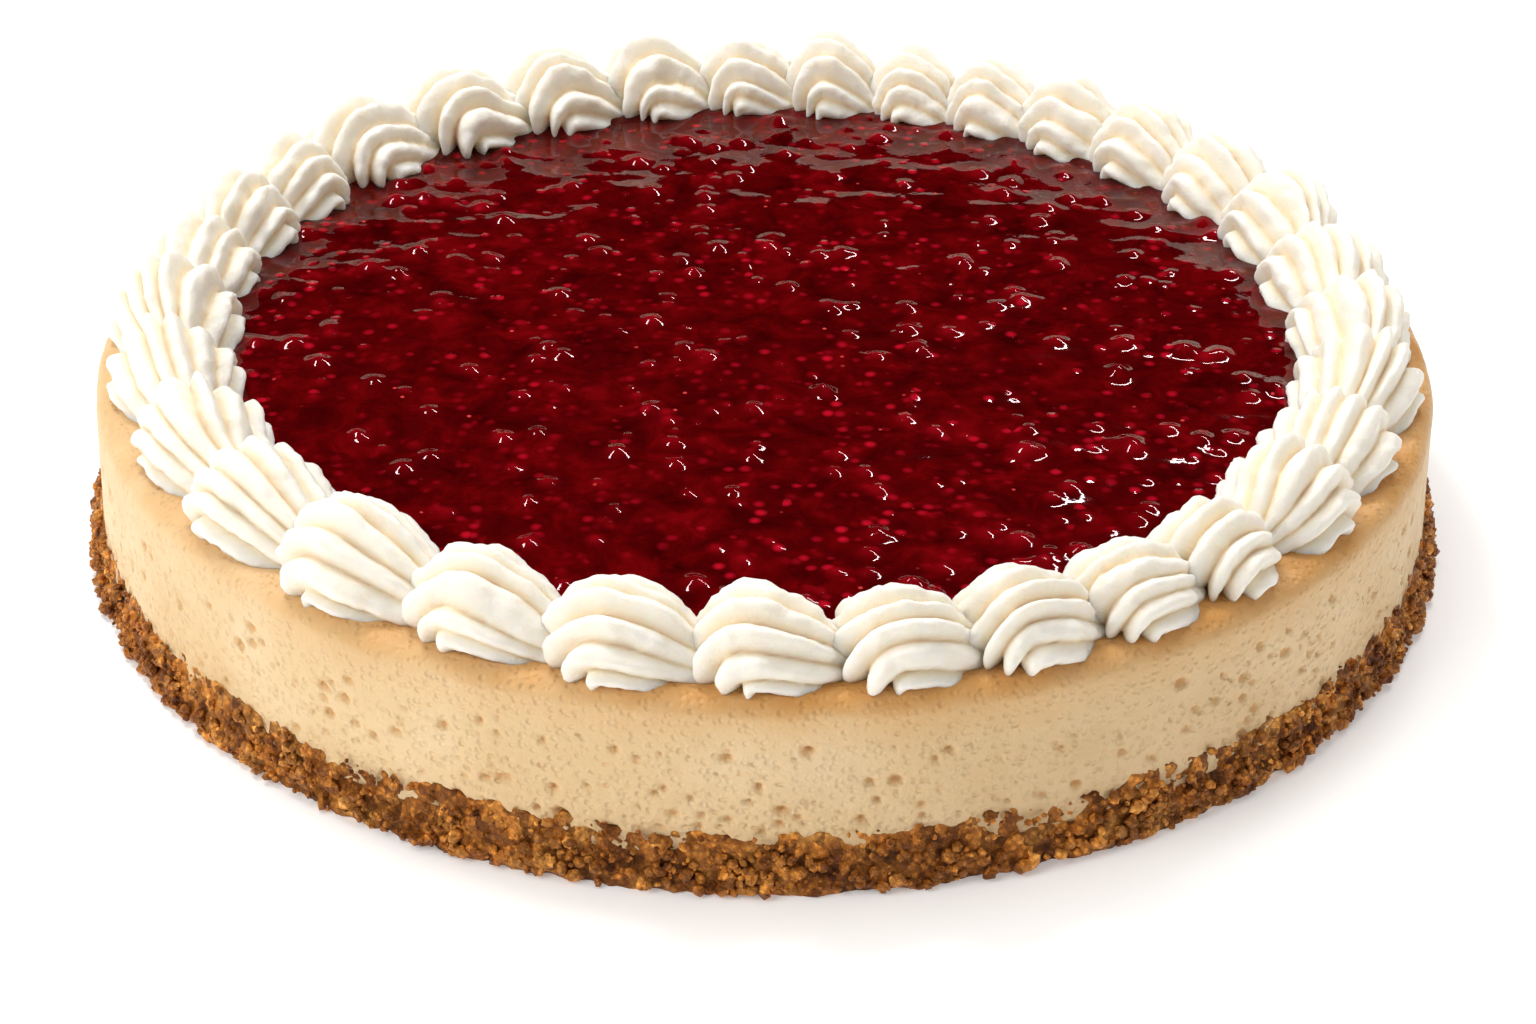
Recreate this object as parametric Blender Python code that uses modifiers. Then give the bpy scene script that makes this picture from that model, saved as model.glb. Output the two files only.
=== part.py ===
"""A round baked cheesecake: a crumb crust, a set filling with a raspberry topping, and a ring of piped cream.

Metres, +Z up. The origin is the middle of the crust's flat underside.
"""

import math
import random

import bmesh
import bpy
from mathutils import Vector, noise

# Sizes of the cake
CAKE_RADIUS = 0.127
TOP_RADIUS = 0.1258
RIM_HEIGHT = 0.0345
RIM_ROUNDING = 0.0035
GAP = 0.0003

# Crumb crust: a flat layer, with crumbs that cling a little way up the filling's side
CRUST_THICKNESS = 0.0087
CRUST_FOOT_RADIUS = 0.1290
CRUMB_LINE_HEIGHT = 0.0098
CRUMB_LINE_SWING = 0.0020
CRUMB_SIZE = 0.0032
CRUMB_RELIEF = 0.0016
CRUST_STEPS = 200

# Filling, with a shallow recess that holds the topping
RECESS_RADIUS = 0.110
RECESS_DEPTH = 0.0033
FILLING_STEPS = 72
ROUNDING_STEPS = 3

# Raspberry topping
OPEN_RADIUS = 0.0985
BERRY_SPACING = 0.013
BERRY_RELIEF = 0.0008
TOPPING_RINGS = 7
TOPPING_STEPS = 44

# Cream ring: two piped runs, which start back to back and meet tail to tail
RING_RADIUS = 0.1117
RING_WAVES = ((2, 0.0009), (3, 0.0006))
RING_WAVES_ANGLE = math.radians(282)
RUN_START = 145.5
RUN_END = -43.0
RUNS = (
    {"shells": 15, "turn": 1, "sweep": 360 + RUN_END - RUN_START, "drift": (1.9, -3.6, -1.2)},
    {"shells": 17, "turn": -1, "sweep": RUN_START - RUN_END, "drift": (1.3, -2.8, -1.9)},
)

# One cream shell: its head is a fluted dome, and its tail sinks and narrows to the next head
HEAD_SHARE = 0.46
HEAD_HALF_WIDTH = 0.0110
BULGE = 0.17
OUTWARD_LEAN = 0.0020
HEAD_HEIGHT = 0.0148
HEIGHT_LEAN = 0.0009
MEAN_LENGTH = 0.0220
FLUTES = 9
FLUTE_DEPTH = 0.13
FOOT_FLARE = 0.07
TAIL_WIDTH = 0.60
TAIL_HEIGHT = 0.38
HEAD_ROWS = 3
TAIL_ROWS = 3
SHELL_SPREAD = 0.05
SHELL_SEED = 11


def clear_scene():
    for item in list(bpy.data.objects):
        bpy.data.objects.remove(item, do_unlink=True)


def material(name, colour, roughness):
    made = bpy.data.materials.new(name)
    made.use_nodes = True
    shader = made.node_tree.nodes["Principled BSDF"]
    shader.inputs["Base Color"].default_value = (*colour, 1.0)
    shader.inputs["Roughness"].default_value = roughness
    shader.inputs["Metallic"].default_value = 0.0
    made.diffuse_color = (*colour, 1.0)
    return made


def turned(name, profile, steps, collection, finish):
    """A body of revolution. The profile runs from the axis over the top, down the outer side and back."""
    mesh = bpy.data.meshes.new(name)
    points = [(x, 0.0, z) for x, z in profile]
    mesh.from_pydata(points, [(i, i + 1) for i in range(len(points) - 1)], [])
    body = bpy.data.objects.new(name, mesh)
    collection.objects.link(body)
    screw = body.modifiers.new("Turn", "SCREW")
    screw.steps = steps
    screw.render_steps = steps
    screw.use_merge_vertices = True
    screw.merge_threshold = 0.00001
    body.data.materials.append(finish)
    return body


def apply_modifiers(body):
    """Makes the turned shape the object's own mesh, so that relief can be worked into it."""
    graph = bpy.context.evaluated_depsgraph_get()
    mesh = bpy.data.meshes.new_from_object(body.evaluated_get(graph))
    body.modifiers.clear()
    body.data = mesh


def shade_round(body, degrees):
    body.data.shade_smooth()
    body.data.set_sharp_from_angle(angle=math.radians(degrees))


def crumb_line(angle):
    """Height of the uneven line at which the clinging crumbs end."""
    round_way = Vector((math.cos(angle), math.sin(angle), 0.0))
    slow = noise.noise(round_way * 5.0)
    quick = noise.noise(round_way * 21.0)
    height = CRUMB_LINE_HEIGHT + CRUMB_LINE_SWING * (slow + 0.8 * quick)
    return max(height, CRUST_THICKNESS + GAP)


def make_crust(collection, finish):
    wall = CAKE_RADIUS + GAP + 0.0001
    crust = turned(
        "crumb_crust",
        [
            (0.0, CRUST_THICKNESS),
            (wall, CRUST_THICKNESS),
            (wall, CRUMB_LINE_HEIGHT),
            (wall + 0.0006, CRUMB_LINE_HEIGHT),
            (wall + 0.0011, CRUMB_LINE_HEIGHT * 0.66),
            (wall + 0.0015, CRUMB_LINE_HEIGHT * 0.33),
            (CRUST_FOOT_RADIUS, 0.0),
            (0.0, 0.0),
        ],
        CRUST_STEPS,
        collection,
        finish,
    )
    apply_modifiers(crust)
    for vertex in crust.data.vertices:
        place = vertex.co
        angle = math.atan2(place.y, place.x)
        radius = math.hypot(place.x, place.y)
        if place.z > CRUST_THICKNESS + GAP:
            place.z = crumb_line(angle)
        if radius > wall + 0.0003:
            depth = 1.0 - place.z / RIM_HEIGHT
            bump = noise.noise(place / CRUMB_SIZE + Vector((0.5, 0.5, 0.5)))
            lump = noise.noise(place / (5.0 * CRUMB_SIZE))
            push = CRUMB_RELIEF * depth * (bump + 0.6 * lump)
            grown = max(radius + push, wall + 0.0004) / radius
            place.x *= grown
            place.y *= grown
    return crust


def make_filling(collection, finish):
    base = CRUST_THICKNESS + GAP
    floor = RIM_HEIGHT - RECESS_DEPTH
    centre = (TOP_RADIUS - RIM_ROUNDING, RIM_HEIGHT - RIM_ROUNDING)
    profile = [(0.0, floor), (RECESS_RADIUS, floor), (RECESS_RADIUS, RIM_HEIGHT)]
    for i in range(ROUNDING_STEPS + 1):
        turn = math.radians(90 * (1 - i / ROUNDING_STEPS))
        profile.append(
            (centre[0] + RIM_ROUNDING * math.cos(turn), centre[1] + RIM_ROUNDING * math.sin(turn))
        )
    profile += [(CAKE_RADIUS, base), (0.0, base)]
    filling = turned("cheesecake_filling", profile, FILLING_STEPS, collection, finish)
    shade_round(filling, 50)
    return filling


def make_topping(collection, finish):
    floor = RIM_HEIGHT - RECESS_DEPTH + GAP
    edge = RECESS_RADIUS - GAP - 0.0001
    profile = [(0.0, RIM_HEIGHT)]
    for i in range(1, TOPPING_RINGS + 1):
        profile.append((OPEN_RADIUS * i / TOPPING_RINGS, RIM_HEIGHT))
    profile += [(edge, RIM_HEIGHT), (edge, floor), (0.0, floor)]
    topping = turned("raspberry_topping", profile, TOPPING_STEPS, collection, finish)
    apply_modifiers(topping)
    for vertex in topping.data.vertices:
        place = vertex.co
        if place.z < RIM_HEIGHT - 0.5 * RECESS_DEPTH or math.hypot(place.x, place.y) > OPEN_RADIUS * 0.99:
            continue
        place.z += BERRY_RELIEF * noise.noise(place / BERRY_SPACING)
    shade_round(topping, 50)
    return topping


def joint_angles(run):
    """Where along a run each shell starts, in degrees: even steps with the slow drift of a piping hand."""
    count = run["shells"]
    angles = []
    for i in range(count + 1):
        share = i / count
        drift = sum(a * math.sin(math.pi * (k + 1) * share) for k, a in enumerate(run["drift"]))
        angles.append(RUN_START + run["turn"] * (run["sweep"] * share) + drift)
    return angles


def shell_plan():
    """Each shell as a dict: where it starts, which way it was piped, its length and its size."""
    draw = random.Random(SHELL_SEED)
    plan = []
    for run in RUNS:
        angles = joint_angles(run)
        for i in range(run["shells"]):
            length = RING_RADIUS * math.radians(abs(angles[i + 1] - angles[i]))
            grown = (length / MEAN_LENGTH) ** 0.35
            height = HEAD_HEIGHT + HEIGHT_LEAN * math.sin(math.radians(angles[i]))
            plan.append(
                {
                    "start": math.radians(angles[i]),
                    "turn": run["turn"],
                    "length": length,
                    "reach": HEAD_SHARE * length * draw.uniform(0.96, 1.04),
                    "width": HEAD_HALF_WIDTH * grown * draw.uniform(1 - SHELL_SPREAD, 1),
                    "height": height * grown * draw.uniform(1 - SHELL_SPREAD, 1 + SHELL_SPREAD),
                    "aside": draw.uniform(-0.0004, 0.0004),
                    "last": i == run["shells"] - 1,
                    "seed": draw.random(),
                }
            )
    return plan


def flute(column, columns):
    """How far a point of the fluted section stands out, from 1 on a crest to less in a groove."""
    crest = 0.5 - 0.5 * math.cos(2 * math.pi * FLUTES * column / columns)
    return 1 - FLUTE_DEPTH * (1 - crest)


def bulge(share):
    """How much wider the cream swells at this share of its height than a plain dome: most at a third."""
    share = min(1.0, max(0.0, share))
    return 1 + BULGE * 6.75 * share * (1 - share) ** 2


def place_on_ring(shell, along, aside, height):
    """Bends the straight shell round the ring, which sways in and out a little on its way round."""
    angle = shell["start"] + shell["turn"] * along / RING_RADIUS
    radius = RING_RADIUS + aside + OUTWARD_LEAN * height / HEAD_HEIGHT
    for waves, swing in RING_WAVES:
        radius += swing * math.cos(waves * (angle - RING_WAVES_ANGLE))
    return Vector((radius * math.cos(angle), radius * math.sin(angle), RIM_HEIGHT + GAP + height))


def tail_end(shell, following, aside, height):
    """How far along the tail reaches at a point of its section: up to the next head's dome, with a gap."""
    if following is None:
        return shell["length"] - GAP
    up = height / following["height"]
    swell = bulge(up)
    side = (aside - following["aside"]) / (following["width"] * (1 + FOOT_FLARE) * swell)
    dome = swell * math.sqrt(max(0.0, 1 - side * side - up * up))
    front = following["reach"] * (1 + FOOT_FLARE)
    return shell["length"] + front * (1 - dome) - GAP


def shell_rows(shell, following):
    """The shell's surface as rows of points from the front of the head to the end of the tail."""
    columns = 2 * FLUTES
    across = [math.pi * (c / columns - 0.5) for c in range(columns + 1)]
    axis = shell["reach"] * (1 + FOOT_FLARE) + GAP
    rows = []
    for row in range(HEAD_ROWS + 1):
        lean = math.radians(90 * row / HEAD_ROWS)
        flare = 1 + FOOT_FLARE * (1 - row / HEAD_ROWS) ** 2
        points = []
        for column, turn in enumerate(across):
            grown = flute(column, columns) * (flare if column % 2 else 1)
            arm = math.cos(turn) * grown
            swell = bulge(arm * math.sin(lean))
            along = axis - shell["reach"] * arm * math.cos(lean) * swell
            aside = shell["aside"] + shell["width"] * math.sin(turn) * grown * swell
            points.append((along, aside, shell["height"] * arm * math.sin(lean)))
        rows.append(points)
    next_aside = following["aside"] if following else 0.0
    for row in range(1, TAIL_ROWS + 1):
        share = row / TAIL_ROWS
        fall = share * share * (3 - 2 * share)
        wide = 1 - (1 - TAIL_WIDTH) * fall
        high = 1 - (1 - TAIL_HEIGHT) * (0.25 * share + 0.75 * fall)
        centre = shell["aside"] + (next_aside - shell["aside"]) * share
        points = []
        for column, turn in enumerate(across):
            grown = flute(column, columns)
            wide_here = shell["width"] * math.sin(turn) * grown * bulge(math.cos(turn) * grown)
            aside = centre + wide_here * wide
            height = shell["height"] * high * math.cos(turn) * grown
            last_aside = next_aside + wide_here * TAIL_WIDTH
            last_height = shell["height"] * TAIL_HEIGHT * math.cos(turn) * grown
            end = tail_end(shell, following, last_aside, last_height)
            points.append((axis + share * (end - axis), aside, height))
        rows.append(points)
    return rows


def make_shell(name, shell, following, collection, finish):
    """One piped cream shell, lofted through its rows and closed by a flat base and a hollowed tail end."""
    rows = shell_rows(shell, following)
    shaped = bmesh.new()
    grid = []
    for index, points in enumerate(rows):
        line = []
        for column, point in enumerate(points):
            at_pole = column in (0, len(points) - 1) and 0 < index <= HEAD_ROWS
            line.append(grid[0][column] if at_pole else shaped.verts.new(place_on_ring(shell, *point)))
        grid.append(line)
    under = [grid[-1][0]]
    first_side = rows[-1][0][1]
    last_side = rows[-1][-1][1]
    for column in range(1, len(grid[-1]) - 1):
        share = 0.5 - 0.5 * math.cos(math.pi * column / (len(grid[-1]) - 1))
        aside = first_side + (last_side - first_side) * share
        end = tail_end(shell, following, aside, 0.0)
        under.append(shaped.verts.new(place_on_ring(shell, end, aside, 0.0)))
    under.append(grid[-1][-1])
    for upper, lower in [*zip(grid, grid[1:]), (grid[-1], under)]:
        for column in range(len(upper) - 1):
            corners = [upper[column], upper[column + 1], lower[column + 1], lower[column]]
            face = list(dict.fromkeys(corners))
            if len(face) > 2:
                shaped.faces.new(face)
    left = [line[0] for line in grid[HEAD_ROWS + 1 :]]
    right = [line[-1] for line in grid[HEAD_ROWS + 1 :]]
    shaped.faces.new([*grid[0], *right, *reversed(under[1:-1]), *reversed(left)])
    bmesh.ops.recalc_face_normals(shaped, faces=shaped.faces[:])
    bmesh.ops.triangulate(shaped, faces=shaped.faces[:])
    mesh = bpy.data.meshes.new(name)
    shaped.to_mesh(mesh)
    shaped.free()
    body = bpy.data.objects.new(name, mesh)
    collection.objects.link(body)
    body.data.materials.append(finish)
    shade_round(body, 40)
    return body


def make_cream_ring(collection, finish):
    plan = shell_plan()
    for index, shell in enumerate(plan):
        following = None if shell["last"] else plan[index + 1]
        make_shell(f"cream_shell_{index + 1:02d}", shell, following, collection, finish)


def main():
    clear_scene()
    cake = bpy.data.collections.new("baked_cheesecake")
    bpy.context.scene.collection.children.link(cake)
    make_crust(cake, material("crumb", (0.42, 0.20, 0.06), 0.9))
    make_filling(cake, material("baked filling", (0.87, 0.68, 0.40), 0.6))
    make_topping(cake, material("berry jelly", (0.20, 0.004, 0.010), 0.1))
    make_cream_ring(cake, material("whipped cream", (0.93, 0.89, 0.79), 0.5))


main()
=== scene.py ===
"""Looks of a round baked cheesecake: crumb crust, pitted filling, berry jelly and a ring of piped cream.

Metres, +Z up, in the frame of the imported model. The photograph is taken from -Y, 30 degrees up.
"""

import math
import random

import bmesh
import bpy
import numpy as np
from mathutils import Matrix, Vector, noise

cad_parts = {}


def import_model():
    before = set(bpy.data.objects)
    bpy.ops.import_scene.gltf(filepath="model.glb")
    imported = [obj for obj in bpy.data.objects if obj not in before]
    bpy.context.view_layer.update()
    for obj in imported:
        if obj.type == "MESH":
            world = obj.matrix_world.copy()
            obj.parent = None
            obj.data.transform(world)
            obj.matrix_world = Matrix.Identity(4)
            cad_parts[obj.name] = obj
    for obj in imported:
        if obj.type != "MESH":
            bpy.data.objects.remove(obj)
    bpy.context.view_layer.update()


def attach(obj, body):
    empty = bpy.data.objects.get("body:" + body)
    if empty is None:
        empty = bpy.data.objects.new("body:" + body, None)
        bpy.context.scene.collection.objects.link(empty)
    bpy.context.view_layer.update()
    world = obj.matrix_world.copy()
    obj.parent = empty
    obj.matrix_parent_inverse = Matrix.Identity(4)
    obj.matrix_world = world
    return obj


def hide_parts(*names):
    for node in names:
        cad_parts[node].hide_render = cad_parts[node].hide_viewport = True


# Cake, the same sizes as its solids
CAKE_RADIUS = 0.127
TOP_RADIUS = 0.1258
RIM_HEIGHT = 0.0345
RIM_ROUNDING = 0.0035
CRUST_THICKNESS = 0.0087
CRUMB_LINE_HEIGHT = 0.0104
CRUST_FOOT_RADIUS = 0.1290

# Noise on a surface is given as (height, size, shift) for each of its waves

# Crust relief
CRUST_COLUMNS = 1240
CRUST_ROWS = 22
CRUST_TUCK = 0.0004
CRUMB_LINE_WAVES = ((0.0014, 0.2, 0.0), (0.0014, 0.045, 3.0), (0.0008, 0.013, 7.0))
CLUSTER_SIZE = 0.0033
CLUSTER_LEVEL = 0.62
CLUSTER_RELIEF = 0.0021
GRAIN_SIZE = 0.0014
GRAIN_LEVEL = 0.55
GRAIN_RELIEF = 0.0010
CRUST_WAVES = ((0.0010, 0.014, 5.0),)
CRUST_FLARE_POWER = 0.8
# These gap numbers set painted shade: a dark colour laid into the gaps between crumb clusters and grains
GAP_SHADE_FROM_CLUSTER = 1.9
GAP_SHADE_FROM_GRAIN = 1.1
GAP_SHADE_START = 0.12
GAP_SHADE_MOST = 0.95

# Loose crumbs on the crust's side
LOOSE_CRUMBS = 3000
CRUMB_SEED = 5
CRUMB_SIZE = 0.00045
CRUMB_SIZE_SPREAD = 0.0011
CRUMB_STANDOFF = 0.0004
CRUMB_REACH = 0.0022
CRUMB_LUMPINESS = 0.35

# Filling: its skin from under the jelly's edge to its base, with air holes in the wall
SKIN_START = (0.1000, -0.0030)
SKIN_FLAT_START = 0.1040
SKIN_FLAT_ROWS_START = 0.1080
SKIN_FLAT_ROWS = 12
SKIN_RIM_ROWS = 8
SKIN_RIM_SWEEP = 84
SKIN_BASE = 0.0062
WALL_COLUMNS = 1400
WALL_ROWS = 46
FILLING_WAVES = ((0.00035, 0.016, 0.0), (0.00012, 0.004, 2.0))
HOLES = 1700
HOLE_SEED = 8
HOLE_RADIUS = (0.00030, 0.00100)
HOLE_DEPTH = 1.5
HOLE_LOWEST = 0.0095
HOLE_CLEARANCE = 0.0075
HOLE_LOW_POWER = 1.5
HOLE_SMALL_POWER = 4.5
HOLE_STRETCH = (1.0, 1.7)

# Berry jelly
JELLY_RADIUS = 0.1090
JELLY_RINGS = 125
JELLY_EDGE = (0.1010, 0.1040)
JELLY_STEPS = 660
JELLY_LIFT = 0.0002
JELLY_DIP = 0.0009
JELLY_EDGE_LIFT = 0.0004
JELLY_UNDERSIDE = 0.0025
JELLY_STRETCH = (0.5, 1.0, 1.0)
JELLY_WAVES = ((0.00045, 0.010, 0.0), (0.00026, 0.0045, 4.0))
LUMPS = 900
LUMP_SEED = 21
LUMP_RADIUS = (0.0008, 0.0032)
LUMP_HEIGHT = (0.00012, 0.00125)
LUMP_SMALL_POWER = 3.0
LUMP_REACH = 2.2

# Cream ring: two piped runs, which start back to back and meet tail to tail
RING_RADIUS = 0.1117
RING_WAVES = ((2, 0.0009), (3, 0.0006))
RING_WAVES_ANGLE = math.radians(282)
RUN_START = 145.5
RUN_END = -43.0
RUNS = (
    {"shells": 15, "turn": 1, "sweep": 360 + RUN_END - RUN_START, "drift": (1.9, -3.6, -1.2)},
    {"shells": 17, "turn": -1, "sweep": RUN_START - RUN_END, "drift": (1.3, -2.8, -1.9)},
)
HEAD_SHARE = 0.46
HEAD_HALF_WIDTH = 0.0110
BULGE = 0.17
BULGE_PEAK = 27 / 4
OUTWARD_LEAN = 0.0020
HEAD_HEIGHT = 0.0148
HEIGHT_LEAN = 0.0009
MEAN_LENGTH = 0.0220
FOOT_FLARE = 0.07
TAIL_WIDTH = 0.46
TAIL_HEIGHT = 0.22
TAIL_CURVE = 1.45
SHELL_SPREAD = 0.05
SHELL_SEED = 11
FLUTES = 8
FLUTE_STEPS = 11
FLUTE_DEPTH = 0.19
TOE_DEPTH = 0.24
RUN_OUT = 0.36
HEAD_ROWS = 22
TAIL_ROWS = 20
CREAM_SINK = 0.0003
CREAM_WAVES = ((0.00085, 0.0060, 9.0), (0.00050, 0.0024, 1.0), (0.00020, 0.0012, 6.0))
TAIL_OVERLAP = 0.40
TAIL_BOW = 0.0012
LAST_TAIL_REACH = 0.0012
REACH_SPREAD = 0.04
ASIDE_SPREAD = 0.0004
LENGTH_POWER = 0.35
GROOVE_SPREAD = 0.20
GROOVE_POWER = 0.88
RIDGE_SPREAD = 0.30
RIDGE_LIFT = 0.06
SWAY = (0.16, 0.34)
SWAY_PACE = (3.0, 6.0)
TWIST = 0.3
HEAD_FORWARD_POWER = 0.75
HEAD_UPWARD_POWER = 0.85
MERGE_DISTANCE = 0.00001

# Crumb colours
TOAST_STOPS = [(0.34, (0.33, 0.110, 0.014)), (0.50, (0.58, 0.230, 0.038)), (0.64, (0.82, 0.410, 0.095))]
# Painted light on each crumb grain: a painted highlight in its middle and painted shade towards its edge
GRAIN_LIGHT_SHADE_STOPS = [(0.0, (1.30, 1.25, 1.15)), (0.55, (0.60, 0.52, 0.45))]
GRAIN_STOPS = [(0.15, (0.55, 0.46, 0.36)), (0.50, (1.0, 1.0, 1.0)), (0.85, (1.65, 1.65, 1.60))]
# Painted shade for the gaps between crumbs
GAP_SHADE_COLOUR = (0.060, 0.016, 0.003)

# Filling colours
CURD_STOPS = [(0.30, (0.700, 0.485, 0.252)), (0.52, (0.755, 0.548, 0.305)), (0.72, (0.805, 0.612, 0.372))]
BROWNED_COLOUR = (0.70, 0.40, 0.15)
CREASE_COLOUR = (0.60, 0.285, 0.075)
HOLE_COLOUR = (0.78, 0.44, 0.17)
PORE_COLOUR = (0.86, 0.52, 0.22)

# Jelly colours
DEPTH_STOPS = [
    (0.32, (0.030, 0.0002, 0.0004)),
    (0.52, (0.070, 0.0004, 0.0009)),
    (0.72, (0.140, 0.0010, 0.0024)),
]
BERRY_COLOUR = (0.40, 0.004, 0.015)
LUMP_COLOUR = (0.24, 0.002, 0.006)
SEED_COLOUR = (0.62, 0.05, 0.05)

# Cream and floor colours
# The groove stops are painted shade: the cream turns yellower and darker down in its grooves
GROOVE_SHADE_STOPS = [(0.0, (0.905, 0.862, 0.792)), (0.35, (0.90, 0.845, 0.735)), (1.0, (0.89, 0.74, 0.49))]
CLOUD_STOPS = [(0.35, (0.985, 0.975, 0.955)), (0.65, (1.0, 1.0, 1.0))]
FLOOR_STOPS = [(0.3, (0.86, 0.86, 0.86)), (0.7, (0.88, 0.88, 0.88))]
FLOOR_GLOW = 0.22
FLOOR_HALF_SIZE = 6.0

# Softboxes: name, place, height aimed at, size, watts, colour, and whether wet surfaces mirror it
LIGHTS = (
    ("key", (-1.00, -0.60, 1.00), 0.02, (0.8, 0.6), 7.9, (1.0, 0.985, 0.96), False),
    ("overhead", (-0.1, 0.35, 1.3), 0.03, (1.1, 0.8), 7.6, (1.0, 1.0, 1.0), False),
    ("side", (-1.15, -0.60, 0.30), 0.02, (0.5, 0.3), 4.4, (1.0, 0.99, 0.97), False),
    ("fill", (1.1, -0.7, 0.6), 0.03, (0.8, 0.8), 3.0, (1.0, 0.97, 0.94), False),
    ("glint_left", (-0.45, 0.50, 1.25), 0.03, (0.34, 0.09), 6.5, (1.0, 1.0, 1.0), True),
    ("glint_back", (0.42, 0.92, 1.08), 0.03, (0.50, 0.06), 6.0, (1.0, 1.0, 1.0), True),
)
WORLD_COLOUR = (1.0, 0.975, 0.945, 1.0)
WORLD_STRENGTH = 0.30

# Camera, in the photograph's frame of 1536 x 1024
LENS = 67.85
SENSOR = 36.0
CAMERA_DISTANCE = 0.5715
CAMERA_ELEVATION = math.radians(30.428)
CAMERA_PITCH = math.radians(0.524)
CAMERA_YAW = math.radians(0.104)
CAMERA_ROLL = math.radians(0.70)


def new_material(name):
    made = bpy.data.materials.new(name)
    made.use_nodes = True
    nodes = made.node_tree.nodes
    return made, nodes, made.node_tree.links, nodes["Principled BSDF"]


def noise_node(nodes, links, place, scale, detail=3.0, rough=0.55, distortion=0.0):
    node = nodes.new("ShaderNodeTexNoise")
    node.inputs["Scale"].default_value = scale
    node.inputs["Detail"].default_value = detail
    node.inputs["Roughness"].default_value = rough
    node.inputs["Distortion"].default_value = distortion
    links.new(place, node.inputs["Vector"])
    return node.outputs["Fac"]


def cell_node(nodes, links, place, scale):
    node = nodes.new("ShaderNodeTexVoronoi")
    node.inputs["Scale"].default_value = scale
    links.new(place, node.inputs["Vector"])
    return node


def ramp_node(nodes, links, factor, stops):
    """A colour ramp of (place, colour) stops."""
    node = nodes.new("ShaderNodeValToRGB")
    ramp = node.color_ramp
    while len(ramp.elements) < len(stops):
        ramp.elements.new(1.0)
    for element, (place, colour) in zip(ramp.elements, stops):
        element.position = place
        element.color = (*colour, 1.0)
    links.new(factor, node.inputs["Fac"])
    return node.outputs["Color"]


def mix_node(nodes, links, factor, first, second, blend="MIX"):
    """Mixes two colours. The factor and each colour are a socket or a value."""
    node = nodes.new("ShaderNodeMix")
    node.data_type = "RGBA"
    node.blend_type = blend
    for index, value in ((0, factor), (6, first), (7, second)):
        if isinstance(value, bpy.types.NodeSocket):
            links.new(value, node.inputs[index])
        elif index == 0:
            node.inputs[index].default_value = value
        else:
            node.inputs[index].default_value = (*value, 1.0)
    return node.outputs[2]


def math_node(nodes, links, operation, first, second=0.0, clamp=False):
    node = nodes.new("ShaderNodeMath")
    node.operation = operation
    node.use_clamp = clamp
    for index, value in enumerate((first, second)):
        if isinstance(value, bpy.types.NodeSocket):
            links.new(value, node.inputs[index])
        else:
            node.inputs[index].default_value = value
    return node.outputs[0]


def range_node(nodes, links, value, low, high, to_low=0.0, to_high=1.0):
    node = nodes.new("ShaderNodeMapRange")
    links.new(value, node.inputs["Value"])
    node.inputs["From Min"].default_value = low
    node.inputs["From Max"].default_value = high
    node.inputs["To Min"].default_value = to_low
    node.inputs["To Max"].default_value = to_high
    return node.outputs["Result"]


def bump_node(nodes, links, height, distance, strength=1.0):
    node = nodes.new("ShaderNodeBump")
    node.inputs["Strength"].default_value = strength
    node.inputs["Distance"].default_value = distance
    links.new(height, node.inputs["Height"])
    return node.outputs["Normal"]


def object_place(nodes):
    return nodes.new("ShaderNodeTexCoord").outputs["Object"]


def attribute_node(nodes, name):
    node = nodes.new("ShaderNodeAttribute")
    node.attribute_name = name
    return node.outputs["Fac"]


def crumb_material():
    """Toasted biscuit crumb: golden grains, darker where they are toasted, with painted shade in the gaps
    between crumbs and each grain painted lighter in its middle and darker at its edge.
    """
    made, nodes, links, shader = new_material("toasted_crumb")
    place = object_place(nodes)
    grains = cell_node(nodes, links, place, 900.0)
    patches = noise_node(nodes, links, place, 140.0, detail=4.0)
    toast = ramp_node(nodes, links, patches, TOAST_STOPS)
    # Each grain painted lighter in its middle and darker at its edge: painted highlight and painted shade
    grain_light_shade = ramp_node(nodes, links, grains.outputs["Distance"], GRAIN_LIGHT_SHADE_STOPS)
    colour = mix_node(nodes, links, 1.0, toast, grain_light_shade, "MULTIPLY")
    shades = cell_node(nodes, links, place, 540.0)
    shade = ramp_node(nodes, links, shades.outputs["Color"], GRAIN_STOPS)
    colour = mix_node(nodes, links, 1.0, colour, shade, "MULTIPLY")
    # gap: painted shade, a dark colour mixed into the gaps between crumbs
    gap = attribute_node(nodes, "gap")
    colour = mix_node(nodes, links, gap, colour, GAP_SHADE_COLOUR)
    links.new(colour, shader.inputs["Base Color"])
    shader.inputs["Roughness"].default_value = 0.50
    shader.inputs["Specular IOR Level"].default_value = 0.45
    fine = noise_node(nodes, links, place, 1600.0, detail=3.0)
    coarse = noise_node(nodes, links, place, 500.0, detail=3.0)
    relief = math_node(nodes, links, "ADD", fine, coarse)
    links.new(bump_node(nodes, links, relief, 0.0008, 1.0), shader.inputs["Normal"])
    return made


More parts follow.
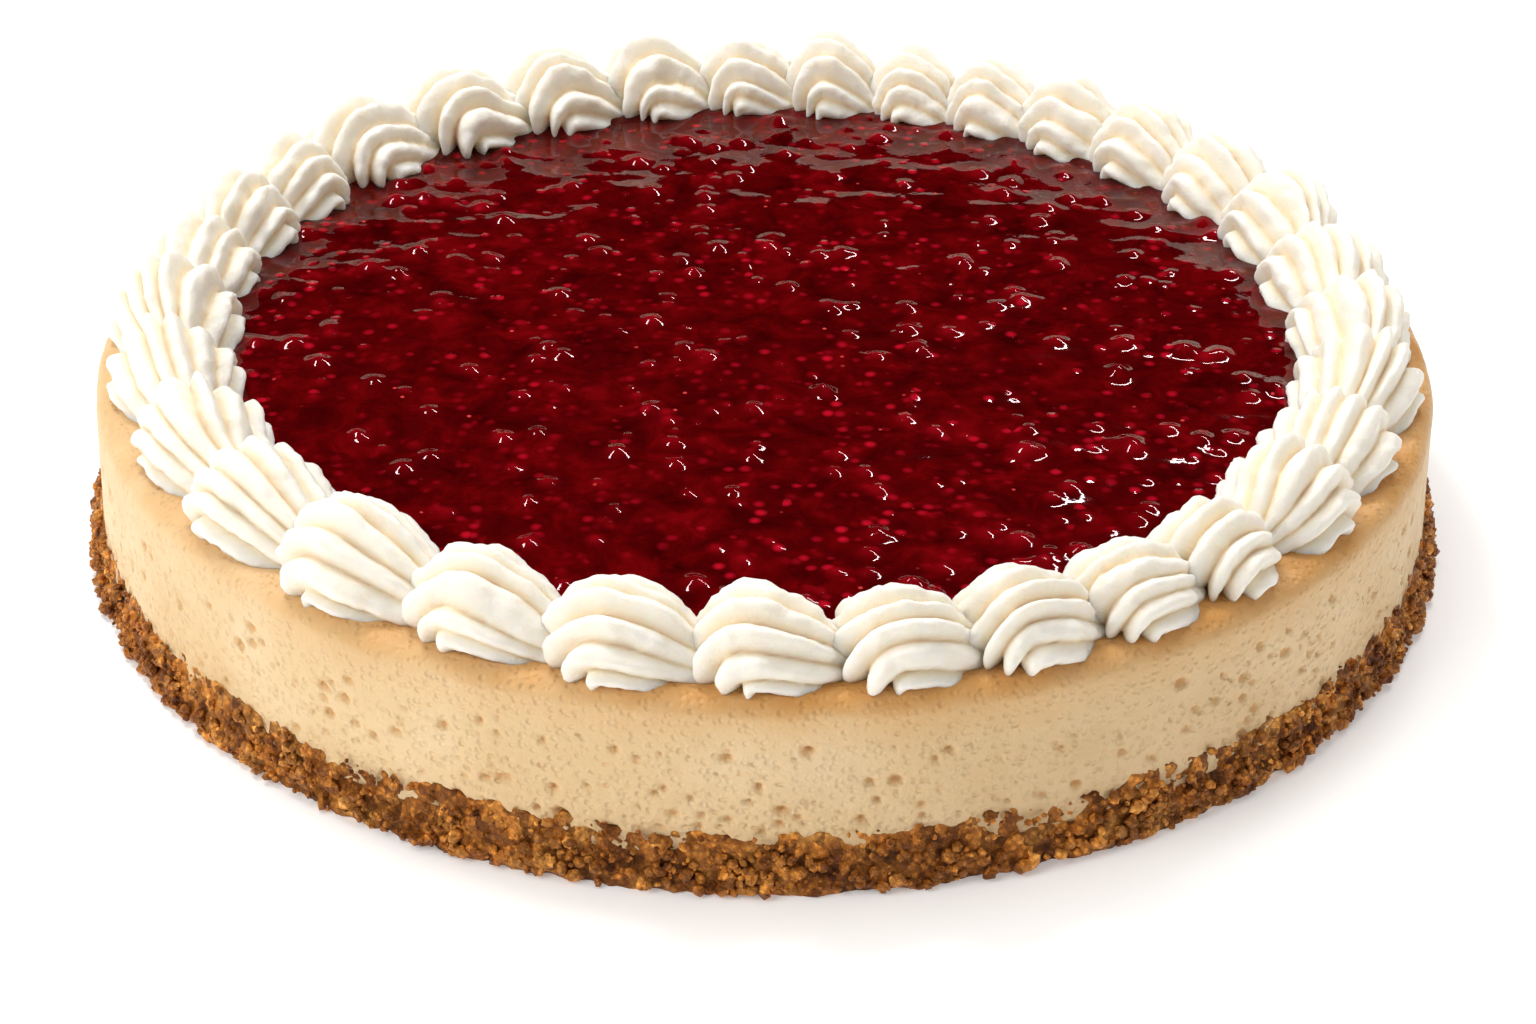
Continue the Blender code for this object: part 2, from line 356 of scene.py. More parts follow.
def filling_material():
    """Baked curd: pale at the side, browned on the rim, tan inside each air hole. The browning and the
    darker crease fade towards the left as painted light, where the key light falls.
    """
    made, nodes, links, shader = new_material("baked_curd")
    place = object_place(nodes)
    apart = nodes.new("ShaderNodeSeparateXYZ")
    links.new(place, apart.inputs[0])
    cloud = noise_node(nodes, links, place, 38.0, detail=4.0)
    curd = ramp_node(nodes, links, cloud, CURD_STOPS)
    wander = noise_node(nodes, links, place, 60.0, detail=4.0)
    wander = math_node(nodes, links, "MULTIPLY", wander, 0.006)
    height = math_node(nodes, links, "ADD", apart.outputs["Z"], wander)
    browned = range_node(nodes, links, height, RIM_HEIGHT - 0.0060, RIM_HEIGHT + 0.0035)
    patches = noise_node(nodes, links, place, 95.0, detail=5.0, rough=0.6)
    patches = range_node(nodes, links, patches, 0.25, 0.65, 0.55, 1.0)
    browned = math_node(nodes, links, "MULTIPLY", browned, patches, clamp=True)
    # side: painted light, fading the browning and the crease towards the left (-X) so the lit side looks
    # paler
    side = range_node(nodes, links, apart.outputs["X"], -0.12, 0.02, 0.25, 0.95)
    browned = math_node(nodes, links, "MULTIPLY", browned, side, clamp=True)
    colour = mix_node(nodes, links, browned, curd, BROWNED_COLOUR)
    crease = range_node(nodes, links, height, RIM_HEIGHT + 0.0002, RIM_HEIGHT + 0.0030)
    crease = math_node(nodes, links, "MULTIPLY", crease, patches, clamp=True)
    crease = math_node(nodes, links, "MULTIPLY", crease, side, clamp=True)
    colour = mix_node(nodes, links, crease, colour, CREASE_COLOUR)
    pit = attribute_node(nodes, "pit")
    colour = mix_node(nodes, links, pit, colour, HOLE_COLOUR)
    stretched = nodes.new("ShaderNodeMapping")
    stretched.inputs["Scale"].default_value = (1.0, 1.0, 1.6)
    links.new(place, stretched.inputs["Vector"])
    pores = cell_node(nodes, links, stretched.outputs["Vector"], 420.0)
    chosen = range_node(nodes, links, pores.outputs["Color"], 0.54, 0.66)
    pore = range_node(nodes, links, pores.outputs["Distance"], 0.30, 0.10)
    pore = math_node(nodes, links, "MULTIPLY", chosen, pore, clamp=True)
    low = range_node(nodes, links, apart.outputs["Z"], RIM_HEIGHT - 0.002, RIM_HEIGHT - 0.012, 0.25, 1.0)
    pore = math_node(nodes, links, "MULTIPLY", pore, low, clamp=True)
    tint = math_node(nodes, links, "MULTIPLY", pore, 0.5)
    colour = mix_node(nodes, links, tint, colour, PORE_COLOUR)
    links.new(colour, shader.inputs["Base Color"])
    shader.inputs["Roughness"].default_value = 0.50
    shader.inputs["Specular IOR Level"].default_value = 0.35
    shader.inputs["Subsurface Weight"].default_value = 0.12
    shader.inputs["Subsurface Radius"].default_value = (1.0, 0.6, 0.3)
    shader.inputs["Subsurface Scale"].default_value = 0.0015
    holes = cell_node(nodes, links, place, 700.0)
    fine = noise_node(nodes, links, place, 900.0, detail=4.0)
    coarse = noise_node(nodes, links, place, 260.0, detail=4.0)
    holes_out = range_node(nodes, links, holes.outputs["Distance"], 0.05, 0.45)
    relief = math_node(nodes, links, "ADD", holes_out, fine)
    relief = math_node(nodes, links, "ADD", relief, coarse)
    deep = math_node(nodes, links, "MULTIPLY", pore, 0.9)
    relief = math_node(nodes, links, "SUBTRACT", relief, deep)
    links.new(bump_node(nodes, links, relief, 0.00026, 1.0), shader.inputs["Normal"])
    return made


def jelly_material():
    """Glossy dark red jelly with redder berry pieces and small bright dots, like seeds, in it."""
    made, nodes, links, shader = new_material("berry_jelly")
    place = object_place(nodes)
    flat = nodes.new("ShaderNodeMapping")
    flat.inputs["Scale"].default_value = (1.0, 1.0, 0.3)
    links.new(place, flat.inputs["Vector"])
    place = flat.outputs["Vector"]
    depth = noise_node(nodes, links, place, 120.0, detail=5.0, rough=0.65, distortion=0.5)
    colour = ramp_node(nodes, links, depth, DEPTH_STOPS)
    drupes = cell_node(nodes, links, place, 340.0)
    chosen = range_node(nodes, links, drupes.outputs["Color"], 0.60, 0.78)
    round_in = range_node(nodes, links, drupes.outputs["Distance"], 0.44, 0.16)
    berry = math_node(nodes, links, "MULTIPLY", chosen, round_in, clamp=True)
    crowd = noise_node(nodes, links, place, 42.0, detail=3.0)
    crowd = range_node(nodes, links, crowd, 0.38, 0.56)
    berry = math_node(nodes, links, "MULTIPLY", berry, crowd, clamp=True)
    colour = mix_node(nodes, links, berry, colour, BERRY_COLOUR)
    lump = attribute_node(nodes, "lump")
    colour = mix_node(nodes, links, lump, colour, LUMP_COLOUR)
    specks = cell_node(nodes, links, place, 620.0)
    pale = range_node(nodes, links, specks.outputs["Color"], 0.90, 0.93)
    dot = range_node(nodes, links, specks.outputs["Distance"], 0.30, 0.16)
    seed = math_node(nodes, links, "MULTIPLY", pale, dot, clamp=True)
    colour = mix_node(nodes, links, seed, colour, SEED_COLOUR)
    links.new(colour, shader.inputs["Base Color"])
    shader.inputs["Roughness"].default_value = 0.05
    shader.inputs["IOR"].default_value = 1.31
    shader.inputs["Specular Tint"].default_value = (1.0, 0.62, 0.66, 1.0)
    ripple = noise_node(nodes, links, place, 210.0, detail=3.0)
    relief = math_node(nodes, links, "ADD", ripple, berry)
    links.new(bump_node(nodes, links, relief, 0.00018, 0.5), shader.inputs["Normal"])
    return made


def cream_material():
    """Whipped cream: soft white, with painted shade that makes it yellower down in the grooves."""
    made, nodes, links, shader = new_material("whipped_cream")
    place = object_place(nodes)
    # Painted shade: yellower, darker cream down in the grooves
    groove_shade = attribute_node(nodes, "groove_shade")
    colour = ramp_node(nodes, links, groove_shade, GROOVE_SHADE_STOPS)
    cloud = noise_node(nodes, links, place, 120.0, detail=3.0)
    tint = ramp_node(nodes, links, cloud, CLOUD_STOPS)
    colour = mix_node(nodes, links, 1.0, colour, tint, "MULTIPLY")
    links.new(colour, shader.inputs["Base Color"])
    shader.inputs["Roughness"].default_value = 0.42
    shader.inputs["Specular IOR Level"].default_value = 0.4
    shader.inputs["Subsurface Weight"].default_value = 0.65
    shader.inputs["Subsurface Radius"].default_value = (1.0, 0.80, 0.55)
    shader.inputs["Subsurface Scale"].default_value = 0.0032
    fine = noise_node(nodes, links, place, 1500.0, detail=4.0)
    coarse = noise_node(nodes, links, place, 330.0, detail=3.0)
    coarse = math_node(nodes, links, "MULTIPLY", coarse, 2.0)
    relief = math_node(nodes, links, "ADD", fine, coarse)
    links.new(bump_node(nodes, links, relief, 0.00018, 0.8), shader.inputs["Normal"])
    return made


def floor_material():
    made, nodes, links, shader = new_material("pale_floor")
    place = object_place(nodes)
    cloud = noise_node(nodes, links, place, 3.0)
    colour = ramp_node(nodes, links, cloud, FLOOR_STOPS)
    links.new(colour, shader.inputs["Base Color"])
    shader.inputs["Roughness"].default_value = 0.75
    shader.inputs["Emission Color"].default_value = (1.0, 1.0, 1.0, 1.0)
    shader.inputs["Emission Strength"].default_value = FLOOR_GLOW
    return made


def add_object(name, data):
    body = bpy.data.objects.new(name, data)
    bpy.context.scene.collection.objects.link(body)
    return body


def mesh_object(name, points, faces, finish, values):
    """An object from arrays of points and of faces. values names a number on each point."""
    mesh = bpy.data.meshes.new(name)
    mesh.from_pydata([tuple(p) for p in points], [], [tuple(f) for f in faces])
    mesh.validate()
    for label, numbers in values.items():
        layer = mesh.attributes.new(label, "FLOAT", "POINT")
        layer.data.foreach_set("value", np.asarray(numbers, dtype=np.float32))
    mesh.shade_smooth()
    mesh.materials.append(finish)
    return add_object(name, mesh)


def ring_faces(rows, columns):
    """Quads between rows of points that each close into a ring, the first row at the top or centre."""
    row = np.arange(rows - 1)[:, None] * columns
    here = np.arange(columns)[None, :]
    after = (here + 1) % columns
    quads = np.stack([row + here, row + columns + here, row + columns + after, row + after], -1)
    return quads.reshape(-1, 4).tolist()


def cap_faces(columns, last, above, below):
    """Triangles from the first ring to the point above it, and from the last ring to the one below."""
    faces = []
    for i in range(columns):
        after = (i + 1) % columns
        faces.append((above, i, after))
        faces.append((below, last + after, last + i))
    return faces


def noise_values(points, size, shift):
    offset = Vector((shift, shift, shift))
    return np.array([noise.noise(Vector(p) / size + offset) for p in points])


def add_waves(start, points, waves):
    """Adds noise waves, each a (height, size, shift), at these points to a start value."""
    total = start
    for height, size, shift in waves:
        total = total + height * noise_values(points, size, shift)
    return total


def cell_values(points, size):
    """For each point the distance to the nearest of scattered centres, in cells."""
    return np.array([noise.voronoi(Vector(p) / size)[0][0] for p in points])


def make_crust(finish):
    """The crust's side as a dense skin of crumb clusters, closed below by its flat underside."""
    angle = np.linspace(0, 2 * math.pi, CRUST_COLUMNS, endpoint=False)
    way = np.stack([np.cos(angle), np.sin(angle), np.zeros_like(angle)], -1)
    line = add_waves(CRUMB_LINE_HEIGHT, way, CRUMB_LINE_WAVES)
    rows = []
    gap_shades = []
    for row in range(CRUST_ROWS + 1):
        share = row / CRUST_ROWS
        radius = CAKE_RADIUS - CRUST_TUCK + (CRUST_FOOT_RADIUS - CAKE_RADIUS) * share**CRUST_FLARE_POWER
        height = line * (1 - share)
        points = np.stack([radius * way[:, 0], radius * way[:, 1], height], -1)
        cluster = CLUSTER_LEVEL - cell_values(points, CLUSTER_SIZE)
        grain = GRAIN_LEVEL - cell_values(points, GRAIN_SIZE)
        push = add_waves(CLUSTER_RELIEF * cluster + GRAIN_RELIEF * grain, points, CRUST_WAVES)
        push *= min(1.0, 0.35 + 2.2 * share)
        if share == 1.0:
            push *= 0.7
        # gap: painted shade, strongest deep in the gaps between clusters and grains
        gap = -GAP_SHADE_FROM_CLUSTER * cluster - GAP_SHADE_FROM_GRAIN * grain + GAP_SHADE_START
        gap_shades.append(np.clip(gap, 0, 1) * GAP_SHADE_MOST)
        rows.append(points + way * push[:, None])
    side = np.concatenate(rows)
    side[:, 2] = np.maximum(side[:, 2], 0.0)
    faces = ring_faces(CRUST_ROWS + 1, CRUST_COLUMNS)
    count = len(side)
    points = np.concatenate([side, [[0, 0, CRUST_THICKNESS], [0, 0, 0]]])
    faces += cap_faces(CRUST_COLUMNS, CRUST_ROWS * CRUST_COLUMNS, count, count + 1)
    gap = np.concatenate([np.concatenate(gap_shades), [0, 0]])
    return mesh_object("crust_side", points, faces, finish, {"gap": gap})


def make_crumbs(finish):
    """Loose crumbs that cling to the crust's side, as one piece of many small uneven lumps."""
    draw = random.Random(CRUMB_SEED)
    shaped = bmesh.new()
    for _ in range(LOOSE_CRUMBS):
        angle = draw.uniform(0, 2 * math.pi)
        share = draw.random() ** 0.75
        height = CRUMB_LINE_HEIGHT * (1.06 - share)
        size = (CRUMB_SIZE + CRUMB_SIZE_SPREAD * draw.random() ** 2) * (0.7 + 0.4 * share)
        radius = CAKE_RADIUS + CRUMB_STANDOFF + CRUMB_REACH * share
        height = max(height, size * 0.9)
        centre = Vector((radius * math.cos(angle), radius * math.sin(angle), height))
        spin = draw.uniform(0, 6.28)
        axis = Vector((draw.random(), draw.random(), draw.random() + 0.1))
        turn = Matrix.Rotation(spin, 4, axis)
        scale = Matrix.Diagonal((1.0, draw.uniform(0.7, 1.0), draw.uniform(0.6, 0.95), 1.0))
        made = bmesh.ops.create_icosphere(shaped, subdivisions=1, radius=size)["verts"]
        for vertex in made:
            grown = 1 + CRUMB_LUMPINESS * noise.noise(vertex.co / (size * 1.1) + centre * 900)
            vertex.co = centre + turn.to_3x3() @ (scale.to_3x3() @ (vertex.co * grown))
            vertex.co.z = max(vertex.co.z, 0.0)
    mesh = bpy.data.meshes.new("crust_crumbs")
    shaped.to_mesh(mesh)
    shaped.free()
    mesh.attributes.new("gap", "FLOAT", "POINT")
    mesh.materials.append(finish)
    return add_object("crust_crumbs", mesh)


def filling_profile():
    """(radius, height) down the filling's skin, from under the jelly's edge over the rim to its base."""
    profile = [(SKIN_START[0], RIM_HEIGHT + SKIN_START[1]), (SKIN_FLAT_START, RIM_HEIGHT)]
    flat_width = TOP_RADIUS - RIM_ROUNDING - SKIN_FLAT_ROWS_START
    for i in range(SKIN_FLAT_ROWS):
        profile.append((SKIN_FLAT_ROWS_START + flat_width * i / SKIN_FLAT_ROWS, RIM_HEIGHT))
    for i in range(SKIN_RIM_ROWS):
        turn = math.radians(90 - SKIN_RIM_SWEEP * i / (SKIN_RIM_ROWS - 1))
        profile.append(
            (
                TOP_RADIUS - RIM_ROUNDING + RIM_ROUNDING * math.cos(turn),
                RIM_HEIGHT - RIM_ROUNDING + RIM_ROUNDING * math.sin(turn),
            )
        )
    top = profile[-1]
    for i in range(1, WALL_ROWS + 1):
        share = i / WALL_ROWS
        profile.append((top[0] + (CAKE_RADIUS - top[0]) * share, top[1] + (SKIN_BASE - top[1]) * share))
    return profile


def make_filling(finish):
    """The filling's skin, with real air holes pressed into its wall and a soft waviness."""
    profile = filling_profile()
    angle = np.linspace(0, 2 * math.pi, WALL_COLUMNS, endpoint=False)
    way = np.stack([np.cos(angle), np.sin(angle)], -1)
    radius = np.array([r for r, _ in profile])
    height = np.array([z for _, z in profile])
    push = np.zeros((len(profile), WALL_COLUMNS))
    pit = np.zeros_like(push)
    draw = random.Random(HOLE_SEED)
    for _ in range(HOLES):
        low = draw.random() ** HOLE_LOW_POWER
        centre_height = HOLE_LOWEST + (RIM_HEIGHT - HOLE_CLEARANCE - HOLE_LOWEST) * low
        centre_angle = draw.uniform(0, 2 * math.pi)
        size = HOLE_RADIUS[0] + (HOLE_RADIUS[1] - HOLE_RADIUS[0]) * draw.random() ** HOLE_SMALL_POWER
        wide = size * draw.uniform(*HOLE_STRETCH)
        reach = wide / CAKE_RADIUS
        first = int((centre_angle - reach) / (2 * math.pi) * WALL_COLUMNS) - 1
        last = int((centre_angle + reach) / (2 * math.pi) * WALL_COLUMNS) + 2
        columns = np.arange(first, last + 1)
        across = (columns * 2 * math.pi / WALL_COLUMNS - centre_angle) * CAKE_RADIUS / wide
        up = (height - centre_height) / size
        apart = np.sqrt(up[:, None] ** 2 + across[None, :] ** 2)
        apart[height > RIM_HEIGHT - 0.001] = 2.0
        dip = np.clip(1 - apart**2, 0, 1) ** 0.8
        spot = np.ix_(np.arange(len(profile)), columns % WALL_COLUMNS)
        push[spot] = np.minimum(push[spot], -HOLE_DEPTH * size * dip)
        pit[spot] = np.maximum(pit[spot], np.clip(1.05 - apart, 0, 1) ** 0.8 * min(1.0, size / 0.0008))
    points = np.zeros((len(profile), WALL_COLUMNS, 3))
    points[..., 0] = radius[:, None] * way[None, :, 0]
    points[..., 1] = radius[:, None] * way[None, :, 1]
    points[..., 2] = height[:, None]
    flat = points.reshape(-1, 3)
    wave = add_waves(0.0, flat, FILLING_WAVES)
    slope = np.zeros_like(radius)
    for i in range(1, len(profile) - 1):
        slope[i] = math.atan2(radius[i + 1] - radius[i - 1], -(height[i + 1] - height[i - 1]))
    slope[0] = math.pi / 2
    slope[-1] = slope[-2]
    relief = push + wave.reshape(push.shape)
    out = np.cos(slope)[:, None] * relief
    points[..., 0] += out * way[None, :, 0]
    points[..., 1] += out * way[None, :, 1]
    points[..., 2] += np.sin(slope)[:, None] * relief
    faces = ring_faces(len(profile), WALL_COLUMNS)
    count = len(profile) * WALL_COLUMNS
    ends = [[0, 0, RIM_HEIGHT + SKIN_START[1]], [0, 0, SKIN_BASE]]
    every = np.concatenate([points.reshape(-1, 3), ends])
    faces += cap_faces(WALL_COLUMNS, (len(profile) - 1) * WALL_COLUMNS, count, count + 1)
    pit_values = np.concatenate([np.clip(pit, 0, 1).reshape(-1), [0, 0]])
    return mesh_object("filling_skin", every, faces, finish, {"pit": pit_values})


def make_jelly(finish):
    """The jelly's wet top: soft swells, rounded berry lumps and a rim that dips under the cream."""
    radius = JELLY_RADIUS * np.arange(1, JELLY_RINGS + 1) / JELLY_RINGS
    angle = np.linspace(0, 2 * math.pi, JELLY_STEPS, endpoint=False)
    x = radius[:, None] * np.cos(angle)[None, :]
    y = radius[:, None] * np.sin(angle)[None, :]
    flat = np.stack([x.reshape(-1), y.reshape(-1), np.zeros(x.size)], -1)
    height = add_waves(0.0, flat * np.array(JELLY_STRETCH), JELLY_WAVES)
    lump = np.zeros(len(flat))
    draw = random.Random(LUMP_SEED)
    for _ in range(LUMPS):
        away = JELLY_RADIUS * math.sqrt(draw.random()) * 0.98
        turn = draw.uniform(0, 2 * math.pi)
        big = draw.random() ** LUMP_SMALL_POWER
        size = LUMP_RADIUS[0] + (LUMP_RADIUS[1] - LUMP_RADIUS[0]) * big
        rise = LUMP_HEIGHT[0] + (LUMP_HEIGHT[1] - LUMP_HEIGHT[0]) * big
        gap = (flat[:, 0] - away * math.cos(turn)) ** 2 + (flat[:, 1] - away * math.sin(turn)) ** 2
        near = gap < (LUMP_REACH * size) ** 2
        bell = np.exp(-gap[near] / (0.5 * size * size))
        height[near] += rise * bell
        lump[near] = np.maximum(lump[near], bell * draw.uniform(0.2, 1.0))
    away = np.hypot(flat[:, 0], flat[:, 1])
    edge = np.clip((away - JELLY_EDGE[0]) / (JELLY_EDGE[1] - JELLY_EDGE[0]), 0, 1)
    height = np.maximum(height, JELLY_EDGE_LIFT * edge - JELLY_DIP * (1 - edge))
    height += RIM_HEIGHT + JELLY_LIFT
    points = np.stack([flat[:, 0], flat[:, 1], height], -1)
    faces = ring_faces(JELLY_RINGS, JELLY_STEPS)
    count = len(points)
    below = RIM_HEIGHT - JELLY_UNDERSIDE
    centre = [[0, 0, float(height[:JELLY_STEPS].mean())], [0, 0, below]]
    under = np.stack(
        [JELLY_RADIUS * np.cos(angle), JELLY_RADIUS * np.sin(angle), np.full(JELLY_STEPS, below)],
        -1,
    )
    points = np.concatenate([points, centre, under])
    last = (JELLY_RINGS - 1) * JELLY_STEPS
    for i in range(JELLY_STEPS):
        after = (i + 1) % JELLY_STEPS
        faces.append((count, i, after))
        faces.append((last + i, count + 2 + i, count + 2 + after, last + after))
        faces.append((count + 1, count + 2 + after, count + 2 + i))
    lump = np.concatenate([lump, np.zeros(2 + JELLY_STEPS)])
    return mesh_object("jelly_top", points, faces, finish, {"lump": lump})


def joint_angles(run):
    """Where along a run each shell starts, in degrees: even steps with the slow drift of a piping hand."""
    count = run["shells"]
    angles = []
    for i in range(count + 1):
        share = i / count
        drift = sum(a * math.sin(math.pi * (k + 1) * share) for k, a in enumerate(run["drift"]))
        angles.append(RUN_START + run["turn"] * (run["sweep"] * share) + drift)
    return angles


def shell_plan():
    """Each shell as a dict: where it starts, which way it was piped, its length and its size."""
    draw = random.Random(SHELL_SEED)
    plan = []
    for run in RUNS:
        angles = joint_angles(run)
        for i in range(run["shells"]):
            length = RING_RADIUS * math.radians(abs(angles[i + 1] - angles[i]))
            grown = (length / MEAN_LENGTH) ** LENGTH_POWER
            height = HEAD_HEIGHT + HEIGHT_LEAN * math.sin(math.radians(angles[i]))
            plan.append(
                {
                    "start": math.radians(angles[i]),
                    "turn": run["turn"],
                    "length": length,
                    "reach": HEAD_SHARE * length * draw.uniform(1 - REACH_SPREAD, 1 + REACH_SPREAD),
                    "width": HEAD_HALF_WIDTH * grown * draw.uniform(1 - SHELL_SPREAD, 1),
                    "height": height * grown * draw.uniform(1 - SHELL_SPREAD, 1 + SHELL_SPREAD),
                    "aside": draw.uniform(-ASIDE_SPREAD, ASIDE_SPREAD),
                    "last": i == run["shells"] - 1,
                    "seed": draw.random(),
                }
            )
    return plan


def place_on_ring(shell, along, aside, height):
    """Bends the straight shell round the ring, which sways in and out a little on its way round."""
    angle = shell["start"] + shell["turn"] * along / RING_RADIUS
    radius = RING_RADIUS + aside + OUTWARD_LEAN * height / HEAD_HEIGHT
    for waves, swing in RING_WAVES:
        radius = radius + swing * np.cos(waves * (angle - RING_WAVES_ANGLE))
    return np.stack([radius * np.cos(angle), radius * np.sin(angle), RIM_HEIGHT - CREAM_SINK + height], -1)


def bulge(share):
    """How much wider the cream swells at this share of its height than a plain dome: most at a third."""
    share = np.clip(share, 0, 1)
    return 1 + BULGE * BULGE_PEAK * share * (1 - share) ** 2


def uneven_skin(flat, middle):
    """Pushes the cream's points softly in and out from its middle, and keeps them above its flat foot."""
    wobble = add_waves(0.0, flat, CREAM_WAVES)
    outward = flat - middle
    outward /= np.linalg.norm(outward, axis=1)[:, None] + 1e-9
    flat = flat + outward * wobble[:, None]
    flat[:, 2] = np.maximum(flat[:, 2], RIM_HEIGHT - CREAM_SINK)
    return flat


def shell_faces(rows, columns, reverse):
    """Quads over a shell's skin, and a fan from its rim to the point at its foot, which comes last."""
    width = columns + 1
    faces = []
    for row in range(rows):
        for column in range(columns):
            a = row * width + column
            corners = (a, a + 1, a + 1 + width, a + width)
            faces.append(tuple(reversed(corners)) if reverse else corners)
    rim = list(range(width))
    rim += [row * width + columns for row in range(1, rows + 1)]
    rim += [rows * width + column for column in range(columns - 1, -1, -1)]
    rim += [row * width for row in range(rows - 1, 0, -1)]
    foot = (rows + 1) * width
    for i, here in enumerate(rim):
        after = rim[(i + 1) % len(rim)]
        faces.append((foot, here, after) if reverse else (foot, after, here))
    return faces


def make_shell(index, shell, following, finish):
    """One piped shell: rounded ridges with narrow grooves, from the head's feet over the top to the tail."""
    draw = random.Random(int(shell["seed"] * 1e6))
    columns = FLUTES * FLUTE_STEPS
    share = np.linspace(0, 1, columns + 1)
    ridge = np.array([draw.uniform(-1, 1) for _ in range(FLUTES + 1)])
    edges = []
    for k in range(FLUTES + 1):
        apart = 2 * k / FLUTES - 1
        edge = 0.5 + 0.5 * math.copysign(abs(apart) ** GROOVE_POWER, apart)
        if 0 < k < FLUTES:
            edge += draw.uniform(-GROOVE_SPREAD, GROOVE_SPREAD) / FLUTES
        edges.append(edge)
    sway = [(draw.uniform(*SWAY), draw.uniform(0, 6.28), draw.uniform(*SWAY_PACE)) for _ in range(2)]
    twist = draw.uniform(-TWIST, TWIST)
    rows = []
    groove_shades = []
    axis = shell["reach"] * (1 + FOOT_FLARE)
    rows_total = HEAD_ROWS + TAIL_ROWS
    next_aside = following["aside"] if following else 0.0
    next_reach = following["reach"] if following else 0.0
    end = shell["length"] + (TAIL_OVERLAP * next_reach if following else LAST_TAIL_REACH)
    for row in range(rows_total + 1):
        on_way = row / rows_total
        head = row <= HEAD_ROWS
        lean = min(1.0, row / HEAD_ROWS)
        tail = max(0.0, (row - HEAD_ROWS) / TAIL_ROWS)
        fall = tail**TAIL_CURVE
        widest = math.pi / 2 * (1 - RUN_OUT * fall)
        turn = (2 * share - 1) * widest
        inner = 0.5 - 0.5 * np.sin(turn)
        phase = np.interp(turn / math.pi + 0.5, edges, np.arange(FLUTES + 1))
        bend = twist * (on_way - 0.4)
        for swing, begin, pace in sway:
            bend = bend + swing * on_way * np.sin(begin + pace * on_way + 2.0 * turn)
        phase = phase + bend * np.cos(turn)
        wave = np.abs(np.sin(math.pi * phase)) ** (0.95 + 0.5 * inner)
        lift = np.interp(phase, np.arange(FLUTES + 1), ridge)
        depth = FLUTE_DEPTH + TOE_DEPTH * (1 - lean) ** 4
        grown = 1 - depth * (1 - wave) * (1 + RIDGE_SPREAD * lift) + RIDGE_LIFT * lift
        if head:
            flare = 1 + FOOT_FLARE * (1 - lean) ** 2
            grown = grown * flare
            forward = math.cos(lean * math.pi / 2) ** HEAD_FORWARD_POWER
            upward = math.sin(lean * math.pi / 2) ** HEAD_UPWARD_POWER
            swell = bulge(np.cos(turn) * grown * upward)
            arm = np.cos(turn) * grown
            along = axis - shell["reach"] * arm * forward * swell
            aside = shell["aside"] + shell["width"] * np.sin(turn) * grown * swell
            height = shell["height"] * arm * upward
        else:
            wide = 1 - (1 - TAIL_WIDTH) * fall
            high = 1 - (1 - TAIL_HEIGHT) * fall
            swell = bulge(np.cos(turn) * grown)
            centre = shell["aside"] + (next_aside - shell["aside"]) * tail
            along = np.full_like(turn, axis + tail * (end - axis))
            along = along + TAIL_BOW * np.cos(turn) * math.sin(math.pi * tail)
            aside = centre + shell["width"] * np.sin(turn) * grown * swell * wide
            low = math.cos(widest)
            height = shell["height"] * high * np.clip((np.cos(turn) - low) / (1 - low), 0, 1) * grown
        rows.append(place_on_ring(shell, along, aside, height))
        # How deep each point sits in a groove, for the cream's painted shade
        groove_shades.append(np.clip((1 - wave) ** 1.7, 0, 1))
    flat = np.array(rows).reshape(-1, 3)
    middle = place_on_ring(shell, np.array([axis]), np.array([shell["aside"]]), np.array([0.002]))[0]
    flat = uneven_skin(flat, middle)
    flat = np.concatenate([flat, [[middle[0], middle[1], RIM_HEIGHT - CREAM_SINK]]])
    faces = shell_faces(rows_total, columns, shell["turn"] > 0)
    groove_shade = np.concatenate([np.concatenate(groove_shades), [0]])
    body = mesh_object(f"cream_{index:02d}", flat, faces, finish, {"groove_shade": groove_shade})
    merge = bmesh.new()
    merge.from_mesh(body.data)
    bmesh.ops.remove_doubles(merge, verts=merge.verts[:], dist=MERGE_DISTANCE)
    bmesh.ops.recalc_face_normals(merge, faces=merge.faces[:])
    merge.to_mesh(body.data)
    merge.free()
    return body


def make_floor(finish):
    mesh = bpy.data.meshes.new("floor")
    size = FLOOR_HALF_SIZE
    corners = [(-size, -size, 0), (size, -size, 0), (size, size, 0), (-size, size, 0)]
    mesh.from_pydata(corners, [], [(0, 1, 2, 3)])
    mesh.materials.append(finish)
    return add_object("floor", mesh)


